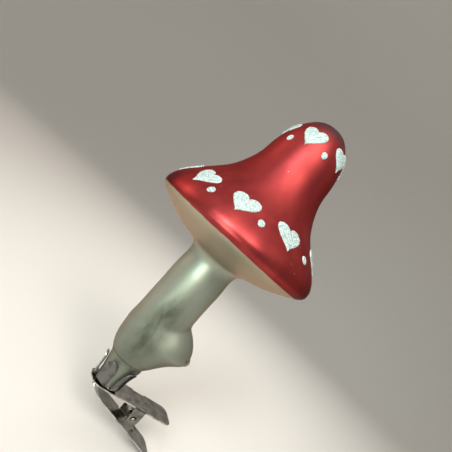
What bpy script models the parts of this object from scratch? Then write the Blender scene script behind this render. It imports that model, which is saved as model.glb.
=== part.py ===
"""Clip-on tree ornament: a hollow blown-glass mushroom in a crown of prongs on a spring clip.

Frame: the mushroom's axis is Z, the clip's handles point to +X, and the origin is where that
axis meets the gripping face of the clip's upper arm. Driving sizes are in millimetres.
"""
import math
import random

import bmesh
import bpy
import numpy as np
from mathutils import Matrix, Vector

MM = 0.001
GAP = 0.3

# Directions about Z, in degrees from +X
FRONT_DEG = -114.0
LEAN_DEG = -24.0

# Blown glass: outer profile from the tip down to the crease above the neck, as (radius, height)
TIP_Z = 136.0
CAP_RADIUS = 36.1
RIM_Z = 79.2
STEM_RADIUS = 11.0
GLASS_WALL = 0.8
MUSHROOM_PROFILE = [
    (0.0, TIP_Z), (6.1, 134.7), (12.0, 127.8), (14.6, 119.5), (16.3, 108.8), (20.9, 98.8),
    (29.0, 89.6), (34.6, 83.0), (CAP_RADIUS, RIM_Z), (35.5, 76.5), (22.5, 69.8), (12.0, 66.4),
    (10.8, 63.8), (STEM_RADIUS, 56.0), (10.9, 46.0), (STEM_RADIUS, 39.1), (STEM_RADIUS, 35.4),
    (11.1, 31.8), (11.3, 28.1), (10.9, 24.4), (10.4, 20.6), (9.4, 17.0), (7.2, 13.0),
]
BEFORE_TIP = (-6.1, 134.7)
NECK_PROFILE = [(6.7, 11.8), (6.1, 8.6), (5.3, 5.2), (5.1, 1.5)]
ROWS_PER_SPAN = 2
GLASS_STEPS = 36

# The bud blown out of the stem's foot
BUD_DEG = FRONT_DEG + 80.0
BUD_Z = 28.1
BUD_REACH = 8.3
BUD_ABOVE = 11.0
BUD_ROUNDNESS = 0.87
BUD_BELOW = 3.2
BUD_TAIL = 1.22
BUD_SPREAD_DEG = 32.0

# The hand-blown cap is a little out of true
LEAN_SHIFT = 0.93
LEAN_FROM_Z = 64.0
LEAN_SPAN = 66.0
RIM_TILT = 0.02
RIM_TILT_ABOVE = 9.0
RIM_TILT_FOOT = (61.0, 69.0)

# Raised white patches
PATCH_THICKNESS = 0.5
HEART_POINTS = 18
DOT_POINTS = 10
UPPER_HEART = (9.8, 9.3)
LOWER_HEART = (11.0, 9.9)
UPPER_HEARTS = [(-81, 124.2), (-20, 124.8), (48, 125.7), (98, 125.0), (160, 125.6), (222, 124.8)]
LOWER_HEARTS = [(-84, 86.9), (-46, 86.9), (-12, 88.1), (26, 89.6), (76, 90.0), (117, 89.2),
                (158, 88.2), (199, 87.6), (240, 88.3)]
UPPER_DOTS = [(-48, 119.8), (13, 122.2), (82, 122.2), (130, 120.6), (191, 121.4), (253, 120.2)]
LOWER_DOTS = [(-32, 84.8), (4, 87.1), (48, 88.0), (97, 87.6), (137, 86.0), (179, 85.4),
              (219, 85.8), (261, 85.2)]
UPPER_DOT = 2.7
LOWER_DOT = 3.1

# Sheet-metal crown that grips the neck
CROWN_SHEET = 0.4
CROWN_FLOOR = 0.8 + CROWN_SHEET
CROWN_RADIUS = 6.2
PRONG_HALF_DEG = 24.0
PRONG_COLUMNS = 4
PRONG_PATH = [(5.0, 1.2), (5.8, 1.3), (6.2, 1.9), (6.35, 4.0), (6.6, 6.4)]
PRONGS = [(-89, 7.5, 11.0), (-17, 7.7, 11.6), (55, 8.3, 12.2), (127, 9.5, 11.6), (199, 8.2, 11.8)]

# Spring clip
SHEET = 0.5
ARM_HALF_WIDTH = 6.0
PIN_X = 18.0
PIN_Z = -4.7
PIN_RADIUS = 0.75
PIN_HOLE_RADIUS = 0.87
PIN_HEAD_RADIUS = 1.3
PIN_HEAD = 0.55
UPPER_EAR_Y = 5.4
UPPER_EAR_RADIUS = 2.6
LOWER_EAR_Y = 4.6
LOWER_EAR_RADIUS = 2.4
RIVET_RADIUS = 0.9
RIVET_HOLE_RADIUS = 1.2
RIVET_HEAD_RADIUS = 1.9
UPPER_ARM_STATIONS = [(-7.0, 2.0), (-6.3, 3.9), (-4.6, 5.3), (-2.0, ARM_HALF_WIDTH),
                      (31.0, ARM_HALF_WIDTH), (33.2, 5.0), (34.0, 3.4)]
LOWER_ARM_PATH = [(-5.2, -0.5), (-4.0, -1.2), (-1.4, -2.9), (2.2, -4.4), (7.0, -6.0),
                  (33.5, -15.12), (35.7, -15.88), (36.6, -16.19)]
LOWER_ARM_WIDTHS = [3.8, 4.6, 5.3, 5.6, 5.6, ARM_HALF_WIDTH, 5.0, 3.4]

# Torsion spring on the pin
WIRE_RADIUS = 0.35
COIL_RADIUS = 2.15
COIL_PITCH = 0.85
COIL_EXTRA_TURNS = 4
COIL_STEPS = 12
UPPER_LEG_END = (27.0, -0.75)
LOWER_LEG_REACH = 9.0


def clear_scene():
    """Remove whatever the open file holds."""
    for old in list(bpy.data.objects):
        bpy.data.objects.remove(old, do_unlink=True)


def finish(name, colour, metallic, roughness):
    """A plain Principled material."""
    material = bpy.data.materials.new(name)
    material.use_nodes = True
    shader = material.node_tree.nodes["Principled BSDF"]
    shader.inputs["Base Color"].default_value = (*colour, 1.0)
    shader.inputs["Metallic"].default_value = metallic
    shader.inputs["Roughness"].default_value = roughness
    return material


def add_object(name, data, material, parent=None):
    """Link a named object that carries the given mesh or curve."""
    piece = bpy.data.objects.new(name, data)
    bpy.context.scene.collection.objects.link(piece)
    data.materials.append(material)
    piece.parent = parent
    return piece


def mesh_from(bm, name, smooth=True):
    """Turn a bmesh into a mesh datablock with consistent outward faces."""
    bmesh.ops.recalc_face_normals(bm, faces=bm.faces)
    mesh = bpy.data.meshes.new(name)
    bm.to_mesh(mesh)
    bm.free()
    if smooth:
        mesh.shade_smooth()
        mesh.set_sharp_from_angle(angle=math.radians(35))
    return mesh


def smooth_path(points, per_span, before):
    """Centripetal Catmull-Rom curve through the points, with one given point before the first."""
    knots = [Vector(before)] + [Vector(p) for p in points]
    knots.append(2 * knots[-1] - knots[-2])
    path = []
    for a, b, c, d in zip(knots, knots[1:], knots[2:], knots[3:]):
        t1 = math.sqrt((b - a).length)
        t2 = t1 + math.sqrt((c - b).length)
        t3 = t2 + math.sqrt((d - c).length)
        for step in range(per_span):
            t = t1 + (t2 - t1) * step / per_span
            ab = a.lerp(b, t / t1)
            bc = b.lerp(c, (t - t1) / (t2 - t1))
            cd = c.lerp(d, (t - t2) / (t3 - t2))
            abc = ab.lerp(bc, t / t2)
            bcd = bc.lerp(cd, (t - t1) / (t3 - t1))
            path.append(abc.lerp(bcd, (t - t1) / (t2 - t1)))
    path.append(knots[-2])
    return path


def lathe(profile, axis, steps):
    """Spin a profile of (radius, height) about an axis into a bmesh, closed where it meets it."""
    bm = bmesh.new()
    radial = Vector((1, 0, 0))
    verts = [bm.verts.new((radial * r + axis * h) * MM) for r, h in profile]
    edges = [bm.edges.new(pair) for pair in zip(verts, verts[1:])]
    bmesh.ops.spin(bm, geom=verts + edges, cent=(0, 0, 0), axis=axis, dvec=(0, 0, 0),
                   angle=2 * math.pi, steps=steps, use_merge=True)
    bmesh.ops.remove_doubles(bm, verts=bm.verts, dist=1e-6)
    return bm


def out_of_true(point):
    """Move a point of the glass, in millimetres, as the hand-blown cap leans and its rim tips."""
    lean = Vector((math.cos(math.radians(LEAN_DEG)), math.sin(math.radians(LEAN_DEG)), 0))
    shift = LEAN_SHIFT * (max(point.z - LEAN_FROM_Z, 0.0) / LEAN_SPAN) ** 1.5
    if point.z > RIM_Z:
        share = math.exp(-((point.z - RIM_Z) / RIM_TILT_ABOVE) ** 2)
    else:
        low, high = RIM_TILT_FOOT
        share = min(max((point.z - low) / (high - low), 0.0), 1.0)
        share = share * share * (3 - 2 * share)
    tip = RIM_TILT * point.dot(lean) * share
    return point + lean * shift + Vector((0, 0, tip))


def bud_swell(degrees, z):
    """Outward swell of the bud: a round knob above its widest height, trailing off below it."""
    turn = (degrees - BUD_DEG + 180) % 360 - 180
    spread = math.exp(-(turn / BUD_SPREAD_DEG) ** 2 / 2)
    height = z - BUD_Z
    if height > 0:
        knob = 1 - (height / (BUD_ABOVE * (1 + spread) / 2)) ** 2
        return BUD_REACH * spread * max(0.0, knob) ** BUD_ROUNDNESS
    drop = math.sqrt(height ** 2 + 2) - math.sqrt(2)
    return BUD_REACH * spread * math.exp(-(drop / BUD_BELOW) ** BUD_TAIL / 2)


def glass_mushroom(parent, material):
    """Spin the profile, blow out the bud, tip the cap, and give the glass its wall."""
    profile = smooth_path(MUSHROOM_PROFILE, ROWS_PER_SPAN, BEFORE_TIP)
    profile = [(max(p.x, 0.0), p.y) for p in profile] + NECK_PROFILE
    bm = lathe(profile, Vector((0, 0, 1)), GLASS_STEPS)
    for vert in bm.verts:
        point = vert.co / MM
        swell = bud_swell(math.degrees(math.atan2(point.y, point.x)), point.z)
        outward = Vector((point.x, point.y, 0))
        if outward.length > 0.01 and point.z > NECK_PROFILE[0][1]:
            point += outward.normalized() * swell
        vert.co = out_of_true(point) * MM
    piece = add_object("glass_mushroom", mesh_from(bm, "glass_mushroom"), material, parent)
    wall = piece.modifiers.new("wall", "SOLIDIFY")
    wall.thickness = GLASS_WALL * MM
    wall.offset = -1.0
    return piece


class CapSurface:
    """Places on the cap's outer face, found by an angle about Z and a height or a length."""

    def __init__(self):
        path = smooth_path(MUSHROOM_PROFILE[:9], 24, BEFORE_TIP)
        self.radius = np.array([p.x for p in path])
        self.height = np.array([p.y for p in path])
        steps = np.hypot(np.diff(self.radius), np.diff(self.height))
        self.length = np.concatenate([[0.0], np.cumsum(steps)])

    def length_at(self, z):
        """Length along the profile from the tip to a height."""
        return float(np.interp(-z, -self.height, self.length))

    def point(self, degrees, length, lift):
        """Point lifted off the surface along its normal, in metres."""
        r, z = (float(np.interp(length, self.length, row)) for row in (self.radius, self.height))
        ahead, behind = length + 0.2, length - 0.2
        slope_r = float(np.interp(ahead, self.length, self.radius)
                        - np.interp(behind, self.length, self.radius))
        slope_z = float(np.interp(ahead, self.length, self.height)
                        - np.interp(behind, self.length, self.height))
        normal = Vector((-slope_z, slope_r)).normalized()
        r += normal.x * lift
        z += normal.y * lift
        turn = math.radians(degrees)
        return out_of_true(Vector((r * math.cos(turn), r * math.sin(turn), z))) * MM


def heart_outline(width, height, tilt, lobe):
    """Heart seen flat, notch up, as (across, up); tilt turns it and lobe lifts its right side."""
    outline = []
    for step in range(HEART_POINTS):
        t = 2 * math.pi * step / HEART_POINTS
        across = math.sin(t) ** 3 * width / 2
        up = (13 * math.cos(t) - 4.5 * math.cos(2 * t) - 1.8 * math.cos(3 * t)
              - 0.6 * math.cos(4 * t) + 2.6) / 27.5 * height
        up += lobe * across / width
        outline.append((across * math.cos(tilt) - up * math.sin(tilt),
                        across * math.sin(tilt) + up * math.cos(tilt)))
    return outline


def dot_outline(diameter, stretch):
    """A painted dot, a little longer than round."""
    outline = []
    for step in range(DOT_POINTS):
        t = 2 * math.pi * step / DOT_POINTS
        outline.append((math.sin(t) * diameter / 2 * stretch, math.cos(t) * diameter / 2))
    return outline


def surface_patch(name, surface, place, outline, rings, parent, material):
    """A closed patch of even thickness that follows the cap: rings of points round a middle."""
    degrees, z = place
    middle = surface.length_at(z)
    bm = bmesh.new()

    def vertex(across, up):
        length = middle - up
        radius = float(np.interp(length, surface.length, surface.radius))
        turn = FRONT_DEG + degrees + math.degrees(across / radius)
        return bm.verts.new(surface.point(turn, length, GAP))

    centre = vertex(0.0, 0.0)
    inner = None
    for ring in range(1, rings + 1):
        share = ring / rings
        outer = [vertex(across * share, up * share) for across, up in outline]
        for i, start in enumerate(outer):
            after = outer[(i + 1) % len(outer)]
            if inner is None:
                bm.faces.new((centre, start, after))
            else:
                bm.faces.new((inner[i], start, after, inner[(i + 1) % len(inner)]))
        inner = outer
    bmesh.ops.recalc_face_normals(bm, faces=bm.faces)
    bm.faces.ensure_lookup_table()
    if bm.faces[0].normal.dot(centre.co - Vector((0, 0, centre.co.z))) < 0:
        bmesh.ops.reverse_faces(bm, faces=bm.faces)
    mesh = bpy.data.meshes.new(name)
    bm.to_mesh(mesh)
    bm.free()
    piece = add_object(name, mesh, material, parent)
    body = piece.modifiers.new("thickness", "SOLIDIFY")
    body.thickness = PATCH_THICKNESS * MM
    body.offset = 1.0
    return piece


def painted_patches(parent, material):
    """Two rings of hearts and dots; each is a little different, as painted by hand."""
    surface = CapSurface()
    draw = random.Random(11)
    for ring, places, (width, height) in (("upper", UPPER_HEARTS, UPPER_HEART),
                                          ("lower", LOWER_HEARTS, LOWER_HEART)):
        for number, place in enumerate(places, 1):
            size = draw.uniform(0.96, 1.05)
            outline = heart_outline(width * size, height * size, math.radians(draw.uniform(-4, 4)),
                                    draw.uniform(0.3, 1.4))
            surface_patch(f"heart_{ring}_{number}", surface, place, outline, 2, parent, material)
    for ring, places, diameter in (("upper", UPPER_DOTS, UPPER_DOT),
                                   ("lower", LOWER_DOTS, LOWER_DOT)):
        for number, place in enumerate(places, 1):
            outline = dot_outline(diameter, draw.uniform(0.9, 1.15))
            surface_patch(f"dot_{ring}_{number}", surface, place, outline, 1, parent, material)


def crown(parent, material):
    """A star stamped from sheet: a flat disc with five prongs bent up round the neck."""
    bm = bmesh.new()

    def vertex(degrees, radius, z):
        turn = math.radians(degrees)
        return bm.verts.new(Vector((radius * math.cos(turn), radius * math.sin(turn), z)) * MM)

    floor = CROWN_FLOOR
    disc_edge = []
    hole_edge = []
    for degrees, flare, top in PRONGS:
        middle = FRONT_DEG + degrees
        path = PRONG_PATH + [((6.6 + flare) / 2 - 0.1, (6.4 + top) / 2), (flare, top - 0.5),
                             (flare + 0.15, top)]
        narrowing = [1.0] * (len(path) - 3) + [0.96, 0.66, 0.28]
        rows = []
        for (radius, z), share in zip(path, narrowing):
            half = PRONG_HALF_DEG * min(1.0, CROWN_RADIUS / radius) * share
            rows.append([vertex(middle + half * (2 * k / PRONG_COLUMNS - 1), radius, z)
                         for k in range(PRONG_COLUMNS + 1)])
        for low, high in zip(rows, rows[1:]):
            for k in range(PRONG_COLUMNS):
                bm.faces.new((low[k], low[k + 1], high[k + 1], high[k]))
        disc_edge += rows[0]
        hole_edge += [vertex(middle + PRONG_HALF_DEG * (2 * k / PRONG_COLUMNS - 1),
                             RIVET_HOLE_RADIUS, PRONG_PATH[0][1]) for k in range(PRONG_COLUMNS + 1)]
    count = len(disc_edge)
    for i in range(count):
        after = (i + 1) % count
        bm.faces.new((hole_edge[i], hole_edge[after], disc_edge[after], disc_edge[i]))
    bmesh.ops.recalc_face_normals(bm, faces=bm.faces)
    bm.faces.ensure_lookup_table()
    disc = [face for face in bm.faces if all(abs(v.co.z - floor * MM) < 1e-6 for v in face.verts)]
    if disc[0].normal.z < 0:
        bmesh.ops.reverse_faces(bm, faces=bm.faces)
    mesh = bpy.data.meshes.new("crown")
    bm.to_mesh(mesh)
    bm.free()
    piece = add_object("crown", mesh, material, parent)
    sheet = piece.modifiers.new("sheet", "SOLIDIFY")
    sheet.thickness = CROWN_SHEET * MM
    sheet.offset = -1.0
    return piece


def bent_strip(path, half_widths):
    """Sheet-metal strip whose upper face follows a path of (x, z), with a width at each point."""
    bm = bmesh.new()
    points = [Vector((x, 0, z)) for x, z in path]
    rings = []
    for i, point in enumerate(points):
        along = (points[min(i + 1, len(points) - 1)] - points[max(i - 1, 0)]).normalized()
        down = Vector((along.z, 0, -along.x)) * SHEET
        side = Vector((0, half_widths[i], 0))
        corners = (point - side, point + side, point + down + side, point + down - side)
        rings.append([bm.verts.new(corner * MM) for corner in corners])
    for low, high in zip(rings, rings[1:]):
        for k in range(4):
            bm.faces.new((low[k], low[(k + 1) % 4], high[(k + 1) % 4], high[k]))
    bm.faces.new(rings[0])
    bm.faces.new(rings[-1])
    return bm


def ear(radius, y_inner, root, round_down):
    """One ear's plate: a half disc about the pin with straight sides up or down to its root."""
    bm = bmesh.new()
    turn = math.pi if round_down else 0.0
    outline = []
    for step in range(13):
        angle = turn + math.pi * step / 12
        outline.append(Vector((PIN_X + radius * math.cos(angle), y_inner,
                               PIN_Z + radius * math.sin(angle))))
    outline += [Vector((x, y_inner, z)) for x, z in root]
    face = bm.faces.new([bm.verts.new(point * MM) for point in outline])
    grown = bmesh.ops.extrude_face_region(bm, geom=[face])
    moved = [part for part in grown["geom"] if isinstance(part, bmesh.types.BMVert)]
    bmesh.ops.translate(bm, verts=moved, vec=(0, SHEET * MM, 0))
    return bm


def round_cutter(name, radius, centre, axis, length, parent):
    """A hidden cylinder that bores a hole."""
    bm = bmesh.new()
    turn = Vector((0, 0, 1)).rotation_difference(axis).to_matrix().to_4x4()
    place = Matrix.Translation(Vector(centre) * MM) @ turn
    bmesh.ops.create_cone(bm, cap_ends=True, segments=20, radius1=radius * MM,
                          radius2=radius * MM, depth=length * MM, matrix=place)
    return hidden_tool(name, bm, parent)


def hidden_tool(name, bm, parent):
    """An object that only takes part in a Boolean."""
    tool = bpy.data.objects.new(name, mesh_from(bm, name, smooth=False))
    bpy.context.scene.collection.objects.link(tool)
    tool.hide_render = True
    tool.display_type = "WIRE"
    tool.parent = parent
    return tool


def combine(piece, tool, operation):
    """Boolean the tool into the piece."""
    step = piece.modifiers.new(tool.name, "BOOLEAN")
    step.operation = operation
    step.solver = "EXACT"
    step.object = tool


def add_ears(piece, name, radius, y_inner, root, round_down, parent):
    """Join an ear on each side and bore both for the pin."""
    for side, y in (("near", -y_inner - SHEET), ("far", y_inner)):
        tool = hidden_tool(f"{name}_{side}_tool", ear(radius, y, root, round_down), parent)
        combine(piece, tool, "UNION")
    bore = round_cutter(f"{name}_bore_tool", PIN_HOLE_RADIUS, (PIN_X, 0, PIN_Z),
                        Vector((0, 1, 0)), 4 * ARM_HALF_WIDTH, parent)
    combine(piece, bore, "DIFFERENCE")


def upper_arm(parent, material):
    """Flat upper arm with ears folded down outside, carrying the crown on its jaw end."""
    path = [(x, SHEET) for x, half in UPPER_ARM_STATIONS]
    strip = bent_strip(path, [half for x, half in UPPER_ARM_STATIONS])
    piece = add_object("upper_arm", mesh_from(strip, "upper_arm"), material, parent)
    reach = UPPER_EAR_RADIUS
    root = [(PIN_X + reach, SHEET / 2), (PIN_X - reach, SHEET / 2)]
    add_ears(piece, "upper_ear", reach, UPPER_EAR_Y, root, True, parent)
    hole = round_cutter("rivet_hole_tool", RIVET_HOLE_RADIUS, (0, 0, SHEET / 2),
                        Vector((0, 0, 1)), 4 * SHEET, parent)
    combine(piece, hole, "DIFFERENCE")
    return piece


def sheet_middle(x):
    """Height of the middle of the lower arm's straight handle at x."""
    (x0, z0), (x1, z1) = LOWER_ARM_PATH[4:6]
    slope = (z1 - z0) / (x1 - x0)
    return z0 + slope * (x - x0) - SHEET / 2 * math.sqrt(1 + slope * slope)


def lower_arm(hinge, material):
    """Bent lower arm whose ears stand up inside the upper ones; its origin is on the pin."""
    strip = bent_strip(LOWER_ARM_PATH, LOWER_ARM_WIDTHS)
    mesh = mesh_from(strip, "lower_arm")
    mesh.transform(Matrix.Translation(-Vector((PIN_X, 0, PIN_Z)) * MM))
    piece = add_object("lower_arm", mesh, material, hinge)
    reach = LOWER_EAR_RADIUS
    root = [(PIN_X - reach, sheet_middle(PIN_X - reach)), (PIN_X + reach, sheet_middle(PIN_X + reach))]
    add_ears(piece, "lower_ear", reach, LOWER_EAR_Y, root, False, None)
    return piece


def hinge_pin(parent, material):
    """Round pin with peened heads outside the upper ears."""
    end = UPPER_EAR_Y + SHEET + GAP
    profile = [(0, -end - PIN_HEAD), (0.9 * PIN_HEAD_RADIUS, -end - PIN_HEAD),
               (PIN_HEAD_RADIUS, -end - PIN_HEAD / 2), (PIN_HEAD_RADIUS, -end), (PIN_RADIUS, -end)]
    profile += [(r, -y) for r, y in reversed(profile)]
    bm = lathe(profile, Vector((0, 1, 0)), 20)
    piece = add_object("hinge_pin", mesh_from(bm, "hinge_pin"), material, parent)
    piece.location = Vector((PIN_X, 0, PIN_Z)) * MM
    return piece


def crown_rivet(parent, material):
    """Rivet through the crown's disc and the upper arm."""
    top = CROWN_FLOOR + GAP
    profile = [(0, top + 0.5), (0.8 * RIVET_HEAD_RADIUS, top + 0.4), (RIVET_HEAD_RADIUS, top),
               (RIVET_RADIUS, top), (RIVET_RADIUS, -GAP), (RIVET_HEAD_RADIUS, -GAP),
               (0.8 * RIVET_HEAD_RADIUS, -GAP - 0.4), (0, -GAP - 0.5)]
    bm = lathe(profile, Vector((0, 0, 1)), 16)
    return add_object("crown_rivet", mesh_from(bm, "crown_rivet"), material, parent)


def tangent_angle(target, side):
    """Angle on the coil where a straight leg to the target leaves it."""
    across, up = target[0] - PIN_X, target[1] - PIN_Z
    distance = math.hypot(across, up)
    return math.atan2(up, across) + side * math.acos(COIL_RADIUS / distance)


def torsion_spring(parent, material):
    """Round wire: a leg under the upper handle, a coil about the pin, a leg over the lower one."""
    foot_x = PIN_X + LOWER_LEG_REACH
    foot_z = sheet_middle(foot_x) + SHEET / 2 + WIRE_RADIUS + GAP + 0.15
    start = tangent_angle(UPPER_LEG_END, 1)
    end = tangent_angle((foot_x, foot_z), -1) + 2 * math.pi * (COIL_EXTRA_TURNS + 1)
    turns = (end - start) / (2 * math.pi)
    half = turns * COIL_PITCH / 2
    count = round(turns * COIL_STEPS)
    points = [(UPPER_LEG_END[0], -half, UPPER_LEG_END[1])]
    for step in range(count + 1):
        share = step / count
        angle = start + (end - start) * share
        points.append((PIN_X + COIL_RADIUS * math.cos(angle), half * (2 * share - 1),
                       PIN_Z + COIL_RADIUS * math.sin(angle)))
    points.append((foot_x, half, foot_z))
    curve = bpy.data.curves.new("spring", "CURVE")
    curve.dimensions = "3D"
    curve.bevel_depth = WIRE_RADIUS * MM
    curve.bevel_resolution = 1
    curve.use_fill_caps = True
    spline = curve.splines.new("POLY")
    spline.points.add(len(points) - 1)
    for knot, point in zip(spline.points, points):
        knot.co = (*(Vector(point) * MM), 1.0)
    return add_object("spring", curve, material, parent)


def build():
    """Make the materials, the two groups and every piece."""
    clear_scene()
    glass = finish("lacquered_glass", (0.38, 0.012, 0.018), 0.6, 0.25)
    glitter = finish("white_glitter", (0.72, 0.8, 0.78), 0.0, 0.6)
    plated = finish("plated_steel", (0.62, 0.61, 0.58), 1.0, 0.2)
    wire = finish("spring_wire", (0.45, 0.45, 0.44), 1.0, 0.3)

    ornament = bpy.data.objects.new("ornament", None)
    hinge = bpy.data.objects.new("jaw_hinge", None)
    for empty in (ornament, hinge):
        bpy.context.scene.collection.objects.link(empty)
    hinge.location = Vector((PIN_X, 0, PIN_Z)) * MM

    glass_mushroom(ornament, glass)
    painted_patches(ornament, glitter)
    crown(ornament, plated)
    crown_rivet(ornament, plated)
    upper_arm(ornament, plated)
    hinge_pin(ornament, plated)
    torsion_spring(ornament, wire)
    lower_arm(hinge, plated)


build()
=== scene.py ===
"""Looks of the clip-on glass mushroom ornament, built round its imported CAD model."""
import math

import bmesh
import bpy
import numpy as np
from mathutils import Matrix, Vector


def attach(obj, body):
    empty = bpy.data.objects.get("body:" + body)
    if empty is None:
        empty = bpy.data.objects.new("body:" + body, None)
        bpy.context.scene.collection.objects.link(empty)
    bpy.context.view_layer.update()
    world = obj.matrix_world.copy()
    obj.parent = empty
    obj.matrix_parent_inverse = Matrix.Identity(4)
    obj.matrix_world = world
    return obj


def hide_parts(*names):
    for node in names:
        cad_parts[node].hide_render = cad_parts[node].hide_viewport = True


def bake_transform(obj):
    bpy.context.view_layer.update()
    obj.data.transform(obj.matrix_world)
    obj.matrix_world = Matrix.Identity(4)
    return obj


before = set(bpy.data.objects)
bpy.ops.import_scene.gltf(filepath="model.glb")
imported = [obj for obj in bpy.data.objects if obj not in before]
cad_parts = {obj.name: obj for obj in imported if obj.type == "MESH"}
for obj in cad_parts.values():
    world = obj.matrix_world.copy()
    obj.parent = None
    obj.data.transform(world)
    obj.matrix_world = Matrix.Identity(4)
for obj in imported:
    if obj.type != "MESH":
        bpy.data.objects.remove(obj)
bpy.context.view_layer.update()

# Camera
# The mushroom leans 42 degrees to the right in the picture, so the camera is rolled, not the
# object. It stands level with the cap's rim, 172 mm from the mushroom's axis.
MM = 0.001
VIEW_DEG = -24.0
ROLL_DEG = 42.0
CAMERA_DISTANCE = 172.0
CAMERA_HEIGHT = 78.8
CAMERA_ASIDE = 5.72
NEAR_CLIP = 10.0
LENS_MM = 34.25
SENSOR_MM = 36.0

RIGHT = Vector((math.cos(math.radians(VIEW_DEG)), math.sin(math.radians(VIEW_DEG)), 0))
AWAY = Vector((-RIGHT.y, RIGHT.x, 0))
UP = Vector((0, 0, 1))


def place_camera():
    """A pinhole camera from its distance, height and sideways step, rolled about its own axis."""
    roll = math.radians(ROLL_DEG)
    across = RIGHT * math.cos(roll) + UP * math.sin(roll)
    upward = UP * math.cos(roll) - RIGHT * math.sin(roll)
    data = bpy.data.cameras.new("camera")
    data.lens = LENS_MM
    data.sensor_width = SENSOR_MM
    data.clip_start = NEAR_CLIP * MM
    camera = bpy.data.objects.new("camera", data)
    bpy.context.scene.collection.objects.link(camera)
    turn = Matrix((across, upward, -AWAY)).transposed().to_4x4()
    place = (UP * CAMERA_HEIGHT - RIGHT * CAMERA_ASIDE - AWAY * CAMERA_DISTANCE) * MM
    camera.matrix_world = Matrix.Translation(place) @ turn
    bpy.context.scene.camera = camera


place_camera()


# Studio
# A pale seamless bowl of painted board, flat under the object, with no hard edge from any side.
# Soft rectangular lamps stand round it under an even sky: a tall window, narrow ones that draw
# the streaks on the glass and broad ones that soften the shadows. Lengths here are in metres.
FLOOR_Z = -0.018
BOWL_FLOOR_RADIUS = 1.0
BOWL_RADIUS = 2.0
BOWL_TOP = 2.2
BOWL_FLOOR_ROWS = 11
BOWL_BEND_ROWS = 24
BOWL_COLUMNS = 96
BOWL_COLOUR = "E2E0DC"
AIM_HEIGHT = 0.07
SKY_COLOUR = "F2EEE8"
SKY_STRENGTH = 0.62


def linear(code, alpha=1.0):
    """An sRGB hex colour as linear red, green, blue and alpha."""
    values = [int(code[i:i + 2], 16) / 255 for i in (0, 2, 4)]
    return [v / 12.92 if v <= 0.04045 else ((v + 0.055) / 1.055) ** 2.4 for v in values] + [alpha]


def node(tree, kind, links=(), **settings):
    """Add a node; settings are its own properties or, for names starting in_, its sockets."""
    made = tree.nodes.new(kind)
    sockets = {}
    for name, value in settings.items():
        if name.startswith("in_"):
            sockets[name[3:]] = value
        else:
            setattr(made, name, value)
    for name, value in sockets.items():
        key = int(name) if name.isdigit() else name.replace("_", " ")
        made.inputs[key].default_value = value
    for source, target in links:
        tree.links.new(source, made.inputs[target])
    return made


def new_material(name, **shader_settings):
    """A material with one Principled shader, its constant values set on its own sockets."""
    material = bpy.data.materials.new(name)
    material.use_nodes = True
    shader = material.node_tree.nodes["Principled BSDF"]
    for key, value in shader_settings.items():
        shader.inputs[key.replace("_", " ")].default_value = value
    return material, material.node_tree, shader


def faces_of(rows, columns, first_pole, last_pole, round_columns=True):
    """Faces of a grid, where a pole row is a single point. The last column joins the first one
    unless round_columns is False."""
    counts = np.full(rows, columns)
    if first_pole:
        counts[0] = 1
    if last_pole:
        counts[-1] = 1
    starts = np.concatenate([[0], np.cumsum(counts)])
    width = columns if round_columns else columns - 1
    here = np.arange(width)
    after = (here + 1) % columns
    faces = []
    for row in range(rows - 1):
        low, high = starts[row], starts[row + 1]
        if counts[row] == 1:
            block = np.stack([np.full(width, low), high + here, high + after], 1)
        elif counts[row + 1] == 1:
            block = np.stack([low + after, low + here, np.full(width, high)], 1)
        else:
            block = np.stack([low + after, low + here, high + here, high + after], 1)
        faces.extend(block.tolist())
    return faces


def grid_points(grid, first_pole, last_pole):
    """The grid's points in millimetres as one list in metres, with each pole row once."""
    rows = list(grid)
    if first_pole:
        rows[0] = grid[0][:1]
    if last_pole:
        rows[-1] = grid[-1][:1]
    return np.concatenate(rows) * MM


def new_piece(name, points, faces, material, smooth_angle=40):
    """A mesh object at the origin from points in metres and faces. It is shaded smooth, but for
    edges where faces meet at more than the smooth angle in degrees."""
    mesh = bpy.data.meshes.new(name)
    mesh.from_pydata(points.tolist(), [], faces)
    mesh.validate()
    mesh.shade_smooth()
    if smooth_angle:
        mesh.set_sharp_from_angle(angle=math.radians(smooth_angle))
    mesh.materials.append(material)
    piece = bpy.data.objects.new(name, mesh)
    bpy.context.scene.collection.objects.link(piece)
    return piece


def studio_bowl():
    """A flat disc, then a quarter circle, then a straight wall, turned about Z; faces inwards.
    The board has matt emulsion paint, which takes soft shadows and shows no glint."""
    flat = np.linspace(0, BOWL_FLOOR_RADIUS, BOWL_FLOOR_ROWS, endpoint=False)
    bend = np.linspace(0, np.pi / 2, BOWL_BEND_ROWS)
    curve = BOWL_RADIUS - BOWL_FLOOR_RADIUS
    radius = np.concatenate([flat, BOWL_FLOOR_RADIUS + curve * np.sin(bend), [BOWL_RADIUS]])
    height = np.concatenate([0 * flat, curve * (1 - np.cos(bend)), [BOWL_TOP]]) + FLOOR_Z
    turn = np.linspace(0, 2 * np.pi, BOWL_COLUMNS, endpoint=False)
    grid = np.stack(np.broadcast_arrays(radius[:, None] * np.cos(turn),
                                        radius[:, None] * np.sin(turn), height[:, None]), 2) / MM
    material, _, shader = new_material("painted_board", Roughness=0.75)
    shader.inputs["Base Color"].default_value = linear(BOWL_COLOUR)
    bowl = new_piece("studio_bowl", grid_points(grid, True, False),
                     faces_of(len(grid), BOWL_COLUMNS, True, False), material)


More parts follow.
